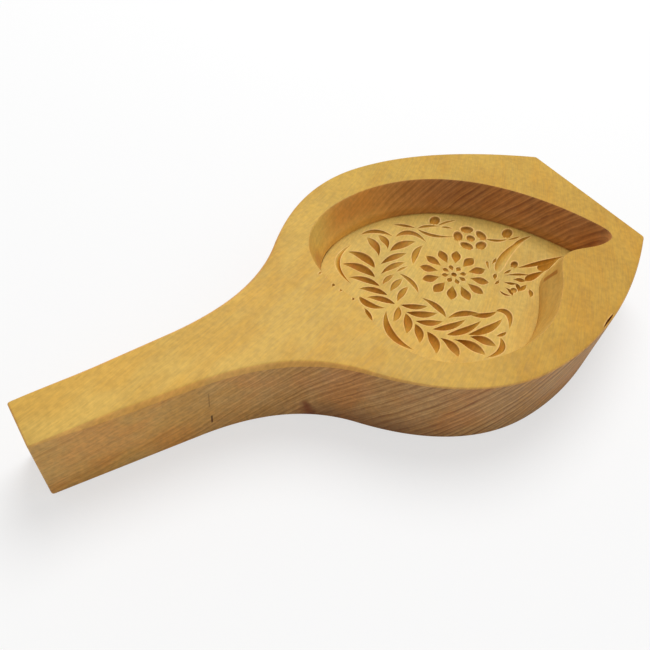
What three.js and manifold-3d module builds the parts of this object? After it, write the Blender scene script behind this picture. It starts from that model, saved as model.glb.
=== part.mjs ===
// A paddle-shaped wooden mould for pressing cakes: one board with a handle and a peach-shaped hollow.
// The hollow has sloping walls and a flat floor with a picture gouged into it.
// Units are millimetres. While drawing, X runs from the handle end to the cut end, Y goes across the
// board and Z goes up from the underside. At the end the origin moves to the middle of the underside.

import * as THREE from 'three';
import { mergeVertices, toCreasedNormals } from 'three/addons/utils/BufferGeometryUtils.js';
import Module from 'manifold-3d';

// Board
const boardLength = 276;
const boardThickness = 36;
const handleEndWidth = 19.6;
const handleEndSkew = 1.3;
const neckAt = 57;
const neckWidth = 26.8;
const shoulderAt = 115;
const shoulderWidth = 74.6;
const shoulderAngle = 46.5;
const bowlAt = 179.5;
const bowlWidth = 137.2;
const cutEndWidth = 70;
const cutEndLead = 44.5;

// Rounding of the board's edges: a worn grip, and crisp edges round the bowl
const gripEasing = 1.8;
const bowlEasing = 0.5;
const gripEasedFrom = 30;
const gripEasedTo = 140;
const easingSteps = 3;
const undersideBevel = 0.6;

// Hollow
const cavityStart = 126;
const cavityLength = 137.6;
const cavityWidth = 106.6;
const cavityDepth = 18;
const wallDraft = 17.3;
const floorOffset = { along: 0.8, across: -1.1 };

// Rosette in the middle of the picture: a ring of long cuts round a heart of short ones
const rosetteRadius = 16.5;
const rosettePetals = 12;
const rosettePetalWidth = 4.8;
const rosetteDepth = 2;
const heartRadius = 6.2;
const heartPetals = 8;
const heartPetalWidth = 2.5;
const heartDepth = 1.2;

// How finely the curves are stepped
const curveSteps = 14;
const gougeSteps = 6;
const dishSides = 12;

const wasm = await Module();
wasm.setup();

// Solids

function solidFrom(geometry) {
  const bare = new THREE.BufferGeometry();
  bare.setAttribute('position', geometry.getAttribute('position'));
  bare.setIndex(geometry.getIndex());
  const merged = mergeVertices(bare, 1e-5);
  const index = merged.getIndex().array;
  const triangles = [];
  for (let i = 0; i < index.length; i += 3) {
    const [a, b, c] = [index[i], index[i + 1], index[i + 2]];
    if (a !== b && b !== c && c !== a) triangles.push(a, b, c);
  }
  return new wasm.Manifold(new wasm.Mesh({
    numProp: 3,
    vertProperties: new Float32Array(merged.getAttribute('position').array),
    triVerts: new Uint32Array(triangles),
  }));
}

function geometryFrom(solid) {
  const mesh = solid.getMesh();
  const geometry = new THREE.BufferGeometry();
  geometry.setAttribute('position', new THREE.BufferAttribute(new Float32Array(mesh.vertProperties), 3));
  geometry.setIndex(new THREE.BufferAttribute(new Uint32Array(mesh.triVerts), 1));
  return geometry;
}

// A closed skin over rings of equally many points. The first and last ring are capped, or each is
// one point.
function loft(rings, capped = true) {
  const count = rings[0].length;
  const triangles = [];
  for (let r = 0; r + 1 < rings.length; r += 1) {
    for (let i = 0; i < count; i += 1) {
      const here = r * count + i;
      const beside = r * count + ((i + 1) % count);
      triangles.push(here, beside, beside + count, here, beside + count, here + count);
    }
  }
  if (capped) {
    const flat = (ring) => ring.map((point) => new THREE.Vector2(point.x, point.y));
    const capFaces = (ring) => THREE.ShapeUtils.triangulateShape(flat(ring), []);
    for (const [a, b, c] of capFaces(rings[0])) triangles.push(a, c, b);
    const top = (rings.length - 1) * count;
    for (const [a, b, c] of capFaces(rings[rings.length - 1])) triangles.push(top + a, top + b, top + c);
  }
  const geometry = new THREE.BufferGeometry().setFromPoints(rings.flat());
  geometry.setIndex(triangles);
  return solidFrom(geometry);
}

// Plan outlines, all counterclockwise seen from above

function inwardNormals(outline) {
  const count = outline.length;
  return outline.map((point, i) => {
    const before = outline[(i + count - 1) % count];
    const after = outline[(i + 1) % count];
    const arrive = point.clone().sub(before).normalize();
    const leave = after.clone().sub(point).normalize();
    const along = arrive.clone().add(leave).normalize();
    const miter = Math.max(along.dot(leave), 0.5);
    return new THREE.Vector2(-along.y, along.x).divideScalar(miter);
  });
}

function distanceToOutline(point, outline) {
  let nearest = Infinity;
  outline.forEach((a, i) => {
    const b = outline[(i + 1) % outline.length];
    const side = b.clone().sub(a);
    const share = THREE.MathUtils.clamp(point.clone().sub(a).dot(side) / side.lengthSq(), 0, 1);
    nearest = Math.min(nearest, point.distanceTo(a.clone().addScaledVector(side, share)));
  });
  return nearest;
}

function crossing(a, b, c, d) {
  const first = b.clone().sub(a);
  const second = d.clone().sub(c);
  const share = c.clone().sub(a).cross(second) / first.cross(second);
  return a.clone().addScaledVector(first, share);
}

// Moves every point of an outline inward. Where the moved line would cross itself at a sharp
// corner, the points of the loop all meet where the two sides cross.
function insetOutline(outline, inset) {
  const normals = inwardNormals(outline);
  const moved = outline.map((point, i) => point.clone().addScaledVector(normals[i], inset));
  const slack = 0.04;
  const good = moved.map((point) => distanceToOutline(point, outline) > inset - slack);
  const count = outline.length;
  const start = good.findIndex((ok, i) => ok && !good[(i + 1) % count]);
  if (inset <= 0 || start < 0) return moved;
  for (let step = 0; step < count; step += 1) {
    const last = (start + step) % count;
    if (!good[last] || good[(last + 1) % count]) continue;
    let run = 1;
    while (!good[(last + 1 + run) % count]) run += 1;
    const next = (last + 1 + run) % count;
    const before = moved[(last + count - 1) % count];
    const meet = crossing(before, moved[last], moved[next], moved[(next + 1) % count]);
    for (let k = 0; k < run; k += 1) moved[(last + 1 + k) % count] = meet.clone();
  }
  return moved;
}

function atHeight(outline, height) {
  return outline.map((point) => new THREE.Vector3(point.x, point.y, height));
}

// The board: a straight handle that flares into a round bowl and is sawn off square

function boardOutline() {
  const endHalf = handleEndWidth / 2;
  const neckHalf = neckWidth / 2;
  const shoulderHalf = shoulderWidth / 2;
  const bowlHalf = bowlWidth / 2;
  const cutHalf = cutEndWidth / 2;
  const shoulderSlope = Math.tan(THREE.MathUtils.degToRad(shoulderAngle));
  const handleSlope = (neckHalf - endHalf) / neckAt;
  const flareAt = (shoulderHalf - shoulderSlope * shoulderAt - endHalf) / (handleSlope - shoulderSlope);
  const flareHalf = endHalf + handleSlope * flareAt;
  const swellAt = shoulderAt + (bowlHalf - shoulderHalf) / shoulderSlope;
  const side = new THREE.Path();
  side.moveTo(handleEndSkew, -endHalf);
  for (const share of [0.2, 0.4, 0.6, 0.8, 1]) {
    side.lineTo(neckAt * share, -THREE.MathUtils.lerp(endHalf, neckHalf, share));
  }
  side.quadraticCurveTo(flareAt, -flareHalf, shoulderAt, -shoulderHalf);
  side.quadraticCurveTo(swellAt, -bowlHalf, bowlAt, -bowlHalf);
  side.quadraticCurveTo(bowlAt + cutEndLead, -bowlHalf, boardLength, -cutHalf);
  const near = side.getPoints(curveSteps);
  const far = near.map((point) => new THREE.Vector2(point.x, -point.y)).reverse();
  far[far.length - 1].x = -handleEndSkew;
  return [...near, ...far];
}

function easingAt(x) {
  const rise = THREE.MathUtils.smoothstep(x, 0, gripEasedFrom);
  const fall = 1 - THREE.MathUtils.smoothstep(x, (gripEasedFrom + gripEasedTo) / 2, gripEasedTo);
  return bowlEasing + (gripEasing - bowlEasing) * rise * fall;
}

function makeBoard() {
  const outline = boardOutline();
  const normals = inwardNormals(outline);
  const ring = (insetAndHeight) => outline.map((point, i) => {
    const [inset, height] = insetAndHeight(easingAt(point.x));
    const moved = point.clone().addScaledVector(normals[i], inset);
    return new THREE.Vector3(moved.x, moved.y, height);
  });
  const rings = [ring(() => [undersideBevel, 0]), ring(() => [0, undersideBevel])];
  for (let step = 0; step <= easingSteps; step += 1) {
    const angle = (Math.PI / 2) * (step / easingSteps);
    const depthFrom = (easing) => boardThickness - easing * (1 - Math.sin(angle));
    rings.push(ring((easing) => [easing * (1 - Math.cos(angle)), depthFrom(easing)]));
  }
  return loft(rings);
}

// The hollow: a peach lying on its side, stem cleft toward the handle, its tip hooked to one side.
// The picture is drawn from the hollow's heel, X along the board and Y across it.

const drawnPeach = { length: 137.6, width: 106.6 };

function onBoard(x, y) {
  const alongScale = cavityLength / drawnPeach.length;
  const acrossScale = cavityWidth / drawnPeach.width;
  return new THREE.Vector2(cavityStart + x * alongScale, y * acrossScale);
}

function peachOutline() {
  const peach = new THREE.Path();
  peach.moveTo(4.5, -6);
  peach.bezierCurveTo(-0.3, -39, 17.3, -53, 45.5, -55.1);
  peach.bezierCurveTo(69.5, -56.1, 83.4, -45.9, 97.5, -31.8);
  peach.bezierCurveTo(108.9, -19.5, 118.5, -31.5, 131.5, -29.3);
  peach.quadraticCurveTo(137.6, -29, 137.1, -22.5);
  peach.bezierCurveTo(129.9, 5.2, 102.8, 51.5, 49.7, 51.5);
  peach.bezierCurveTo(22.5, 51.5, -13.7, 38, 4.5, -6);
  const points = peach.getPoints(curveSteps).map((point) => onBoard(point.x, point.y));
  points.pop();
  return points;
}

const floorHeight = boardThickness - cavityDepth;

// The floor lies a little off the middle of the rim, as a hand-cut one does.
function floorOutline(margin) {
  const wallSpread = cavityDepth * Math.tan(THREE.MathUtils.degToRad(wallDraft));
  const offset = new THREE.Vector2(floorOffset.along, floorOffset.across);
  return insetOutline(peachOutline(), wallSpread + margin).map((point) => point.add(offset));
}

function makeCavity() {
  const clearance = 1;
  const rim = peachOutline();
  return loft([
    atHeight(floorOutline(0), floorHeight),
    atHeight(rim, boardThickness),
    atHeight(rim, boardThickness + clearance),
  ]);
}

// The picture: two sprays of leaves with their border, twigs with buds and a blossom, a butterfly and
// the rosette.

// Leaves: stem end, tip, bow to the left, width, depth, and where they are widest along their length.
const leaves = [
  [[29.2, -4.2], [19.8, 5], -1.2, 3.4, 1.9, 0.45],
  [[29.2, 1.7], [19.5, 10.9], -1.4, 3.5, 2, 0.45],
  [[29.2, 7.8], [19.2, 18.8], -1.5, 3.5, 2, 0.45],
  [[30.4, 13.4], [20.9, 27.6], -2.2, 5, 2.6, 0.45],
  [[33.6, 18.4], [27.8, 33.3], -2.6, 5, 2.6, 0.45],
  [[39.9, 23.7], [42.2, 37.8], -1.7, 4.6, 2, 0.6],
  [[46.7, 26], [48.2, 36.6], -1.7, 4, 1.7, 0.6],
  [[47, 24.3], [63, 24], 1.3, 4.6, 1.9, 0.5],
  [[37.5, 19], [54, 19.4], 1, 3.6, 1.7, 0.55],
  [[34, 13.8], [49.8, 14.8], 1.1, 3.2, 1.3, 0.55],
  [[31, 8.2], [40, 10.9], 0.5, 2.4, 0.7, 0.5],
  [[31.8, 3], [42, 6.9], 0.6, 3.2, 0.9, 0.5],
  [[31, -3.4], [41.4, 1.7], 0.7, 3, 1.1, 0.5],
  [[31, -5.5], [42, -11.8], -0.8, 3.2, 1.8, 0.5],
  [[30.8, -10], [43.4, -16.9], -1.1, 3.8, 2.1, 0.5],
  [[31.5, -15.9], [42.6, -21.7], -1, 3.4, 1.8, 0.5],
  [[35.5, -23], [52.4, -25.5], -1.2, 3.2, 1.8, 0.45],
  [[39.2, -28.2], [58.4, -29.2], -1.3, 3.2, 1.8, 0.4],
  [[47.6, -32.4], [67.8, -32.7], -1.5, 3.6, 1.8, 0.45],
  [[29.8, -6], [22.2, -12], 0.7, 3.2, 0.9, 0.45],
  [[30.2, -10.6], [23.4, -19.8], 1.1, 4, 1.5, 0.45],
  [[30.4, -17.2], [25.6, -26.3], 1, 3.9, 1.8, 0.45],
  [[32.4, -23], [28.5, -34], 1.5, 4.4, 2.1, 0.45],
  [[35.4, -28.1], [35.8, -39.6], 1.8, 4.4, 2, 0.55],
  [[40.1, -31.4], [47, -44.2], 1.5, 4.8, 2.5, 0.6],
  [[47.4, -33.5], [54.3, -43], 1, 4.4, 2.2, 0.55],
];

// Other gouge cuts: start, the point they bend toward, end, width, depth, and where they are widest.
const border = [
  [[18.1, 14.6], [14.2, 33], [32.5, 36.5], 2.2, 1.2, 0.5],
  [[40, 40.3], [50.8, 42], [54.6, 31.8], 2.8, 1.4, 0.5],
  [[55.4, 31.4], [67.8, 34.4], [67.3, 20.9], 3.4, 1.4, 0.45],
  [[65.4, 20.3], [58.8, 20.4], [51.6, 11.8], 3.2, 1, 0.6],
  [[41.2, 11.5], [45, 12.5], [49, 12.2], 1.3, 0.5, 0.5],
  [[41.9, 10.6], [46.2, 3.4], [42.6, -4], 2.5, 1.1, 0.5],
  [[17.2, 6.8], [16.9, -0.1], [24, -3.9], 3.6, 1.9, 0.4],
  [[15.5, 0.4], [15.3, -3.6], [14.5, -7.6], 2, 1.4, 0.5],
  [[23.6, -5.2], [13.2, -16], [21.6, -28.2], 3.6, 1.7, 0.5],
  [[42.1, -6.2], [47, -13.7], [45, -20.6], 3.3, 1.7, 0.55],
  [[45, -21.4], [53, -20.6], [60.5, -26.2], 3.2, 1.6, 0.55],
  [[55, -23.2], [60.5, -29.1], [68.4, -28.4], 2.8, 1.6, 0.5],
  [[68, -28], [76.6, -30.6], [65.6, -38.8], 3.4, 1.5, 0.4],
  [[64, -39], [61, -39.7], [58, -38.6], 1.6, 1, 0.5],
  [[59.2, -40.1], [57.2, -47.4], [46, -45], 2.6, 1.2, 0.4],
];
const twigs = [
  [[59.8, 39.4], [65.2, 36.6], [69.2, 31.7], 2, 1.2, 0.5],
  [[69, 31.4], [74.6, 32], [81.4, 27.4], 1.9, 1, 0.5],
  [[69.2, 31], [71.6, 22.4], [83, 18.4], 2.2, 1.2, 0.4],
  [[80.6, 28.4], [86.6, 29.2], [93, 27.4], 1.4, 0.7, 0.4],
  [[81, 27], [84, 25.8], [86.2, 23.4], 1.6, 0.8, 0.5],
  [[96.4, 9.8], [101.2, 4.9], [107, 4.7], 1.8, 1.1, 0.4],
  [[106, 4.4], [110.6, 3.2], [114.6, 3.4], 1.2, 0.7, 0.5],
];
const butterfly = [
  [[85.2, -10.4], [98.5, -0.4], [120.4, 1.2], 4.6, 1.4, 0.27],
  [[104, -0.6], [112, 1.6], [120.6, 0.9], 1.8, 1.1, 0.5],
  [[96.4, -12.6], [108, -15.4], [124.2, -17.2], 2.6, 1.8, 0.5],
  [[105, -18.4], [111.5, -17.4], [121.4, -17], 4.8, 2.4, 0.28],
  [[86.8, -13.5], [92.6, -15], [98.6, -18.8], 1.5, 1.1, 0.6],
  [[93.8, -20.4], [99.5, -19.9], [107.5, -20.2], 3.6, 2.2, 0.35],
  [[88.8, -17.2], [91.6, -18.6], [94, -20.8], 2.8, 1.6, 0.6],
  [[83.6, -16], [85.2, -18.8], [88.8, -20], 1.7, 1.3, 0.6],
  [[88.4, -19.6], [88.6, -22], [85.6, -24.4], 2.2, 1.8, 0.45],
  [[86.3, -24], [89.2, -23.6], [92.4, -22.7], 2.2, 1.2, 0.5],
  [[81.8, -19.2], [83.4, -22], [81.4, -24.8], 1.9, 1.7, 0.6],
  [[78.4, -19.4], [77.6, -22.6], [81, -24.3], 1.3, 1.1, 0.5],
  [[87.6, -12.4], [90.4, -12.7], [93.2, -12], 1.3, 0.9, 0.5],
  [[80.9, -13.8], [81.8, -11.8], [84.6, -10.7], 1.9, 1.2, 0.6],
  [[78.8, -15.5], [80.5, -15.7], [82.8, -14.5], 1.3, 0.9, 0.5],
  [[86.2, -2.6], [84.4, -4], [82.6, -8.4], 1.4, 0.7, 0.2],
  [[86.2, -5.2], [88.9, -4.6], [91.8, -2.9], 1.4, 1, 0.65],
  [[91.4, -25.4], [91, -28], [88, -29.3], 2.2, 1.2, 0.45],
];

// Dished cuts: middle, half length, half width, turn in degrees and depth.
const buds = [
  [[81.7, 32.4], 3.6, 2.6, 20, 1.4],
  [[109.8, 8.1], 3.9, 2.5, 20, 1.4],
  [[97, -10.1], 2.5, 1.7, 20, 1.4],
  [[84.4, -22.4], 1.9, 1.5, 10, 0.8],
];
const blossom = {
  middle: [89.9, 13.7],
  heart: 2.3,
  heartDepth: 1.2,
  petals: 5,
  ring: 6.4,
  petalLength: 4.9,
  petalWidth: 7,
  petalDepth: 1.4,
  turn: -6,
};
const rosetteMiddle = [65.5, -2];

function around([x, y], radius, degrees) {
  const angle = THREE.MathUtils.degToRad(degrees);
  return [x + radius * Math.cos(angle), y + radius * Math.sin(angle)];
}

// Every cut is lifted by a hair, so that none of its points lies in the plane of the floor.
const cutLift = 0.05;

// A gouge cut starts and ends in a point and is V-shaped. The V goes on above the floor, so that the
// cut comes out clean.
function gouge([from, via, to, width, depth, peak]) {
  const overshoot = 0.3;
  const path = new THREE.QuadraticBezierCurve(onBoard(...from), onBoard(...via), onBoard(...to));
  const rings = [];
  for (let step = 0; step <= gougeSteps; step += 1) {
    const share = step / gougeSteps;
    const swell = step === gougeSteps ? 0 : Math.sin(Math.PI * share ** (Math.log(0.5) / Math.log(peak)));
    const middle = path.getPoint(share);
    const along = path.getTangent(share);
    const reach = (width / 2) * swell * (1 + overshoot);
    const side = new THREE.Vector2(-along.y, along.x).multiplyScalar(reach);
    const top = floorHeight + cutLift + depth * swell * overshoot;
    rings.push([
      new THREE.Vector3(middle.x, middle.y, floorHeight + cutLift - depth * swell),
      new THREE.Vector3(middle.x + side.x, middle.y + side.y, top),
      new THREE.Vector3(middle.x - side.x, middle.y - side.y, top),
    ]);
  }
  return loft(rings, false);
}

function leafCut([stem, tip, bow, ...size]) {
  const chord = [tip[0] - stem[0], tip[1] - stem[1]];
  const bend = (2 * bow) / Math.hypot(...chord);
  const via = [(stem[0] + tip[0]) / 2 - chord[1] * bend, (stem[1] + tip[1]) / 2 + chord[0] * bend];
  return gouge([stem, via, tip, ...size]);
}

// A dished cut is the cap of an egg-shaped ball whose middle lies as far above the floor as the cut
// is deep.
function dish([middle, halfLength, halfWidth, turn, depth]) {
  const ball = new THREE.SphereGeometry(1, dishSides, dishSides / 2 + 2);
  const spread = 1 / Math.sqrt(0.75);
  const place = onBoard(...middle);
  ball.rotateX(Math.PI / 2);
  ball.scale(halfLength * spread, halfWidth * spread, 2 * depth);
  ball.rotateZ(THREE.MathUtils.degToRad(turn));
  ball.translate(place.x, place.y, floorHeight + depth);
  return solidFrom(ball);
}

function blossomCuts() {
  const { middle, heart, petals, ring, petalLength, petalWidth, petalDepth } = blossom;
  const cuts = [dish([middle, heart, heart, 0, blossom.heartDepth])];
  for (let i = 0; i < petals; i += 1) {
    const turn = blossom.turn + (360 / petals) * i;
    cuts.push(dish([around(middle, ring, turn), petalLength / 2, petalWidth / 2, turn, petalDepth]));
  }
  return cuts;
}

function rayCuts(count, inner, outer, width, depth) {
  const widestAt = 0.6;
  return Array.from({ length: count }, (_, i) => {
    const turn = (360 / count) * (i + 0.5);
    const ends = [inner, (inner + outer) / 2, outer].map((radius) => around(rosetteMiddle, radius, turn));
    return gouge([...ends, width, depth, widestAt]);
  });
}

function rosetteCuts() {
  const gap = 0.9;
  const dot = 1.4;
  return [
    dish([rosetteMiddle, dot, dot, 0, heartDepth]),
    ...rayCuts(heartPetals, dot + gap, heartRadius, heartPetalWidth, heartDepth),
    ...rayCuts(rosettePetals, heartRadius + gap, rosetteRadius, rosettePetalWidth, rosetteDepth),
  ];
}

// All cuts together, kept clear of the wall.
function makePicture() {
  const wallMargin = 0.4;
  const reach = 6;
  const floor = floorOutline(wallMargin);
  const cuts = [
    ...leaves.map(leafCut),
    ...[...border, ...twigs, ...butterfly].map(gouge),
    ...buds.map(dish),
    ...blossomCuts(),
    ...rosetteCuts(),
  ];
  const room = loft([atHeight(floor, floorHeight - reach), atHeight(floor, floorHeight + reach)]);
  return wasm.Manifold.union(cuts).intersect(room);
}

const mould = makeBoard().subtract(makeCavity()).subtract(makePicture());

const creaseAngle = THREE.MathUtils.degToRad(25);
const originAt = (boardLength - handleEndSkew) / 2;
const geometry = toCreasedNormals(geometryFrom(mould).translate(-originAt, 0, 0), creaseAngle);

const wood = new THREE.MeshStandardMaterial({ color: 0xd3ab63, roughness: 0.6, metalness: 0 });
const carvedMould = new THREE.Mesh(geometry, wood);
carvedMould.name = 'carved_mould';

const assembly = new THREE.Group();
assembly.add(carvedMould);

export default assembly;
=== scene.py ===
from functools import partialmethod
from math import comb, cos, dist, log, pi, radians, sin, sqrt, tan

import bmesh
import bpy
import numpy as np
from mathutils import Matrix, Vector
from mathutils.geometry import delaunay_2d_cdt
from numpy.linalg import norm


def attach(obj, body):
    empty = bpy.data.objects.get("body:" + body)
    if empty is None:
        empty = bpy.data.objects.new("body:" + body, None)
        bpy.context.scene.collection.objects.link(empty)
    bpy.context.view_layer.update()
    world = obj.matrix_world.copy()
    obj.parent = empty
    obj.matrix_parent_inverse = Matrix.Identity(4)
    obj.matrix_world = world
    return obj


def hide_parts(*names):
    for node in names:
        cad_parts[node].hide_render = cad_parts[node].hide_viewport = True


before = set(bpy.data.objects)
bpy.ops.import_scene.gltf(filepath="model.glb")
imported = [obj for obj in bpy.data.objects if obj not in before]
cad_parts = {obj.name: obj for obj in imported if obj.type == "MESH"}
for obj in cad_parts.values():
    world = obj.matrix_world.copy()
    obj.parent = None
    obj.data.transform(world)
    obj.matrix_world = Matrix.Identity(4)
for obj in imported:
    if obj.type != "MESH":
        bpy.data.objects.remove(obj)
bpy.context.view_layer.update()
NODE = "carved_mould"

# Board, as in the part
BOARD_LENGTH = 276
BOARD_THICKNESS = 36
HANDLE_END_WIDTH = 19.6
HANDLE_END_SKEW = 1.3
NECK_AT = 57
NECK_WIDTH = 26.8
SHOULDER_AT = 115
SHOULDER_WIDTH = 74.6
SHOULDER_ANGLE = 46.5
BOWL_AT = 179.5
BOWL_WIDTH = 137.2
CUT_END_WIDTH = 70
CUT_END_LEAD = 44.5
GRIP_EASING = 1.8
BOWL_EASING = 0.5
GRIP_EASED_FROM = 30
GRIP_EASED_TO = 140
UNDERSIDE_BEVEL = 0.6
CORNER_EASING = 1.1

# Hollow, as in the part
CAVITY_START = 126
CAVITY_DEPTH = 18
WALL_DRAFT = 17.3
FLOOR_OFFSET = (0.8, -1.1)
FLOOR_HEIGHT = BOARD_THICKNESS - CAVITY_DEPTH
RIM_EASING = 0.15

# The wall's lowest band is cut steeper than the rest.
BAND_HEIGHT = 3.8
BAND_SHARE = 0.93

# Mesh spacing
OUTLINE_STEP = 0.8
RIM_STEP = 0.5
TOP_STEP = 3
UNDERSIDE_STEP = 6
FLOOR_STEP = 1.1
CUT_STEP = 0.45
CORNER_STEPS = 6
BEVEL_RINGS = 3
SIDE_RINGS = 14
WALL_RINGS = 12
BAND_RINGS = 4

# How far grid points and the lines of cuts stay from the edge of their face
TOP_MARGIN = 1.5
UNDERSIDE_MARGIN = 3
FLOOR_MARGIN = 0.6
CUT_MARGIN = 0.3
NICK_MARGIN_OUTSIDE = 0.1
NICK_MARGIN_RIM = 0.15

# Points nearer than this are one.
MEET = 1e-6

# Where the row frame's origin lies along the board, and millimetres in its metre
ORIGIN_AT = (BOARD_LENGTH - HANDLE_END_SKEW) / 2
PER_METRE = 1000

# The picture, in plan as in the part. Leaves: stem end, tip, bow to the left, width, depth and where
# along them they are widest, if not at LEAF_WIDEST.
LEAVES = [
    [(29.2, -4.2), (19.8, 5), -1.2, 3.4, 1.9],
    [(29.2, 1.7), (19.5, 10.9), -1.4, 3.5, 2],
    [(29.2, 7.8), (19.2, 18.8), -1.5, 3.5, 2],
    [(30.4, 13.4), (20.9, 27.6), -2.2, 5, 2.6],
    [(33.6, 18.4), (27.8, 33.3), -2.6, 5, 2.6],
    [(39.9, 23.7), (42.2, 37.8), -1.7, 4.6, 2, 0.6],
    [(46.7, 26), (48.2, 36.6), -1.7, 4, 1.7, 0.6],
    [(47, 24.3), (63, 24), 1.3, 4.6, 1.9, 0.5],
    [(37.5, 19), (54, 19.4), 1, 3.6, 1.7, 0.55],
    [(34, 13.8), (49.8, 14.8), 1.1, 3.2, 1.3, 0.55],
    [(31, 8.2), (40, 10.9), 0.5, 2.4, 0.7, 0.5],
    [(31.8, 3), (42, 6.9), 0.6, 3.2, 0.9, 0.5],
    [(31, -3.4), (41.4, 1.7), 0.7, 3, 1.1, 0.5],
    [(31, -5.5), (42, -11.8), -0.8, 3.2, 1.8, 0.5],
    [(30.8, -10), (43.4, -16.9), -1.1, 3.8, 2.1, 0.5],
    [(31.5, -15.9), (42.6, -21.7), -1, 3.4, 1.8, 0.5],
    [(35.5, -23), (52.4, -25.5), -1.2, 3.2, 1.8],
    [(39.2, -28.2), (58.4, -29.2), -1.3, 3.2, 1.8, 0.4],
    [(47.6, -32.4), (67.8, -32.7), -1.5, 3.6, 1.8],
    [(29.8, -6), (22.2, -12), 0.7, 3.2, 0.9],
    [(30.2, -10.6), (23.4, -19.8), 1.1, 4, 1.5],
    [(30.4, -17.2), (25.6, -26.3), 1, 3.9, 1.8],
    [(32.4, -23), (28.5, -34), 1.5, 4.4, 2.1],
    [(35.4, -28.1), (35.8, -39.6), 1.8, 4.4, 2, 0.55],
    [(40.1, -31.4), (47, -44.2), 1.5, 4.8, 2.5, 0.6],
    [(47.4, -33.5), (54.3, -43), 1, 4.4, 2.2, 0.55],
]

# Other gouge cuts: start, the point they bend toward, end, width, depth and where they are widest, if
# not halfway. Two say also where they are deepest and which bank, 1 for the left and -1 for the right,
# is gentle and hardly brown.
BORDER = [
    [(18.1, 14.6), (14.2, 33), (32.5, 36.5), 2.2, 1.2, 0.5, 0.5, 1],
    [(40, 40.3), (50.8, 42), (54.6, 31.8), 2.8, 1.4],
    [(55.4, 31.4), (67.8, 34.4), (67.3, 20.9), 3.4, 1.4, 0.45],
    [(65.4, 20.3), (58.8, 20.4), (51.6, 11.8), 3.2, 1, 0.6],
    [(41.2, 11.5), (45, 12.5), (49, 12.2), 1.3, 0.5],
    [(41.9, 10.6), (46.2, 3.4), (42.6, -4), 2.5, 1.1],
    [(17.2, 6.8), (16.9, -0.1), (24, -3.9), 3.6, 1.9, 0.4],
    [(15.5, 0.4), (15.3, -3.6), (14.5, -7.6), 2, 1.4],
    [(23.6, -5.2), (13.2, -16), (21.6, -28.2), 3.6, 1.7],
    [(42.1, -6.2), (47, -13.7), (45, -20.6), 3.3, 1.7, 0.55],
    [(45, -21.4), (53, -20.6), (60.5, -26.2), 3.2, 1.6, 0.55],
    [(55, -23.2), (60.5, -29.1), (68.4, -28.4), 2.8, 1.6],
    [(68, -28), (76.6, -30.6), (65.6, -38.8), 3.4, 1.5, 0.4],
    [(64, -39), (61, -39.7), (58, -38.6), 1.6, 1],
    [(59.2, -40.1), (57.2, -47.4), (46, -45), 2.6, 1.2, 0.4],
]
TWIGS = [
    [(59.8, 39.4), (65.2, 36.6), (69.2, 31.7), 2, 1.2],
    [(69, 31.4), (74.6, 32), (81.4, 27.4), 1.9, 1],
    [(69.2, 31), (71.6, 22.4), (83, 18.4), 2.2, 1.2, 0.4],
    [(80.6, 28.4), (86.6, 29.2), (93, 27.4), 1.4, 0.7, 0.4],
    [(81, 27), (84, 25.8), (86.2, 23.4), 1.6, 0.8],
    [(96.4, 9.8), (101.2, 4.9), (107, 4.7), 1.8, 1.1, 0.4],
    [(106, 4.4), (110.6, 3.2), (114.6, 3.4), 1.2, 0.7],
]
BUTTERFLY = [
    [(85.2, -10.4), (98.5, -0.4), (120.4, 1.2), 4.6, 0.9, 0.27, 0.4, -1],
    [(104, -0.6), (112, 1.6), (120.6, 0.9), 1.8, 1.1],
    [(96.4, -12.6), (108, -15.4), (124.2, -17.2), 2.6, 1.8],
    [(105, -18.4), (111.5, -17.4), (121.4, -17), 4.8, 2.4, 0.28],
    [(86.8, -13.5), (92.6, -15), (98.6, -18.8), 1.5, 1.1, 0.6],
    [(93.8, -20.4), (99.5, -19.9), (107.5, -20.2), 3.6, 2.2, 0.35],
    [(88.8, -17.2), (91.6, -18.6), (94, -20.8), 2.8, 1.6, 0.6],
    [(83.6, -16), (85.2, -18.8), (88.8, -20), 1.7, 1.3, 0.6],
    [(88.4, -19.6), (88.6, -22), (85.6, -24.4), 2.2, 1.8, 0.45],
    [(86.3, -24), (89.2, -23.6), (92.4, -22.7), 2.2, 1.2],
    [(81.8, -19.2), (83.4, -22), (81.4, -24.8), 1.9, 1.7, 0.6],
    [(78.4, -19.4), (77.6, -22.6), (81, -24.3), 1.3, 1.1],
    [(87.6, -12.4), (90.4, -12.7), (93.2, -12), 1.3, 0.9],
    [(80.9, -13.8), (81.8, -11.8), (84.6, -10.7), 1.9, 1.2, 0.6],
    [(78.8, -15.5), (80.5, -15.7), (82.8, -14.5), 1.3, 0.9],
    [(86.2, -2.6), (84.4, -4), (82.6, -8.4), 1.4, 0.7, 0.2],
    [(86.2, -5.2), (88.9, -4.6), (91.8, -2.9), 1.4, 1, 0.65],
    [(91.4, -25.4), (91, -28), (88, -29.3), 2.2, 1.2, 0.45],
]

# Small nicks in the rim at the heel and a split at the bowl's near edge, given like the gouge cuts
NICKS = [
    [(86.1, -63.6), (91.5, -61.9), (96.9, -60.2), 0.9, 1],
    [(-1.3, 4.5), (0.2, 5.1), (1.7, 6), 1.3, 0.9, 0.6],
    [(0.2, 0.7), (1.3, 1.2), (2.4, 2), 1.1, 0.4, 0.6],
    [(2.4, -5.5), (3.7, -4.9), (4.8, -4), 1.4, 0.9, 0.6],
    [(-2.8, 12.9), (-1.4, 13.4), (0, 14.2), 0.9, 0.4],
    [(-0.8, 9.7), (0.4, 10.4), (1.6, 11.4), 0.8, 0.3],
]

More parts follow.
